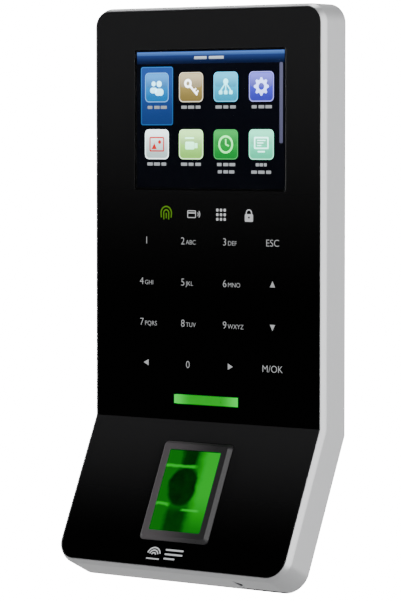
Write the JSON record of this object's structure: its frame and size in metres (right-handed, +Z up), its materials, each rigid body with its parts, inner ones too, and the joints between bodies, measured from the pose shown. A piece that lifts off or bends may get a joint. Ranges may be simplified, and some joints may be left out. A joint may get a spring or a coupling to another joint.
{
  "type": "fingerprint access terminal",
  "caption": "Slim wall-mounted fingerprint terminal: upright glossy front with display and touch keypad, and a forward-leaning lower half that carries the optical finger sensor.",
  "frame": {"origin": "centre of the wall plate's back face, on the wall plane", "axes": "+Z up, -Y out of the wall towards the user, +X to the right of a user who faces the terminal"},
  "size_m": [0.078, 0.0302, 0.1582],
  "materials": {
    "silver_frame": "fine bead-blasted, satin silver lacquer",
    "silver_paint": "satin silver lacquer on moulded plastic",
    "black_gloss": "black back-printed clear panel, polished",
    "clear_window": "clear window of the front panel",
    "light_guide": "green light guide, lit",
    "grey_plastic": "fine satin texture",
    "sensor_glass": "optical glass, lit green from behind",
    "lcd_glass": "display panel",
    "black_cover": "fine moulded texture",
    "component_black": "moulded component",
    "white_plastic": "moulded, natural white",
    "circuit_board": "green solder resist",
    "flex_cable": "amber film with copper tracks",
    "copper": "enamelled copper winding",
    "bright_steel": "nickel plated steel",
    "black_screw": "black zinc",
    "zinc_plate": "zinc plated sheet",
    "soft_rubber": "black elastomer",
    "seal_foam": "closed-cell foam tape",
    "red_wire": "insulated wire",
    "black_wire": "insulated wire"
  },
  "bodies": {
    "wall_plate": {"wall_plate": "zinc_plate"},
    "terminal": {"frame": "silver_frame", "front_lens": "black_gloss", "display_window": "clear_window", "lens_seal": "seal_foam", "indicator_light_guide": "light_guide", "indicator_board": "circuit_board", "lcd_panel": "lcd_glass", "lcd_backlight": "white_plastic", "display_bracket": "bright_steel", "display_flex": "flex_cable", "keypad_board": "circuit_board", "keypad_flex": "flex_cable", "antenna_coil": "copper", "main_board": "circuit_board", "processor": "component_black", "memory_chip": "component_black", "power_inductor": "component_black", "clock_battery": "bright_steel", "battery_holder": "component_black", "power_header": "white_plastic", "lock_header": "white_plastic", "data_header": "white_plastic", "sensor_bezel": "grey_plastic", "sensor_prism": "sensor_glass", "sensor_seal": "soft_rubber", "sensor_housing": "component_black", "sensor_board": "circuit_board", "sensor_camera": "component_black", "sensor_flex": "flex_cable", "speaker": "component_black", "speaker_gasket": "seal_foam", "speaker_wire_positive": "red_wire", "speaker_wire_negative": "black_wire", "usb_board": "circuit_board", "usb_shell": "bright_steel", "usb_insulator": "white_plastic", "usb_hinge_pin": "bright_steel", "usb_flex": "flex_cable", "rear_cover": "black_cover", "case_screw_1": "black_screw", "case_screw_2": "black_screw", "case_screw_3": "black_screw", "case_screw_4": "black_screw", "case_screw_5": "black_screw", "case_screw_6": "black_screw", "board_screw_1": "bright_steel", "board_screw_2": "bright_steel", "board_screw_3": "bright_steel", "board_screw_4": "bright_steel", "tamper_switch": "component_black", "tamper_spring": "bright_steel", "reset_switch": "component_black", "screw_retainer": "soft_rubber"},
    "usb_cover": {"usb_cover": "silver_paint"},
    "tamper_plunger": {"tamper_plunger": "white_plastic"},
    "reset_button": {"reset_button": "white_plastic"},
    "security_washer": {"security_washer": "bright_steel"},
    "security_screw": {"security_screw": "bright_steel"}
  },
  "joints": [
    {"name": "terminal_lift", "type": "slide", "parent": "wall_plate", "child": "terminal", "axis": [0, 0, 1], "range_m": [0, 0.005]},
    {"name": "usb_cover_hinge", "type": "hinge", "parent": "terminal", "child": "usb_cover", "pos_m": [0.027, -0.02157, -0.09913], "axis": [1, 0, 0], "range_deg": [0, 90]},
    {"name": "tamper_travel", "type": "slide", "parent": "terminal", "child": "tamper_plunger", "axis": [0, 1, 0], "range_m": [0, 0.0013], "stiffness_N_per_m": 120, "springref_m": 0.002, "deforming": ["tamper_spring"]},
    {"name": "reset_press", "type": "slide", "parent": "terminal", "child": "reset_button", "axis": [0, -1, 0], "range_m": [0, 0.0003], "stiffness_N_per_m": 800},
    {"name": "security_screw_travel", "type": "slide", "parent": "terminal", "child": "security_washer", "axis": [0, 0, -1], "range_m": [0, 0.0042]},
    {"name": "security_screw_turn", "type": "hinge", "parent": "security_washer", "child": "security_screw", "pos_m": [0, -0.0038, -0.0516], "axis": [0, 0, -1], "range_deg": [0, 3025]}
  ],
  "couplings": [
    {"joint": "security_screw_turn", "follows": "security_screw_travel", "rad_per_m": 12566}
  ]
}
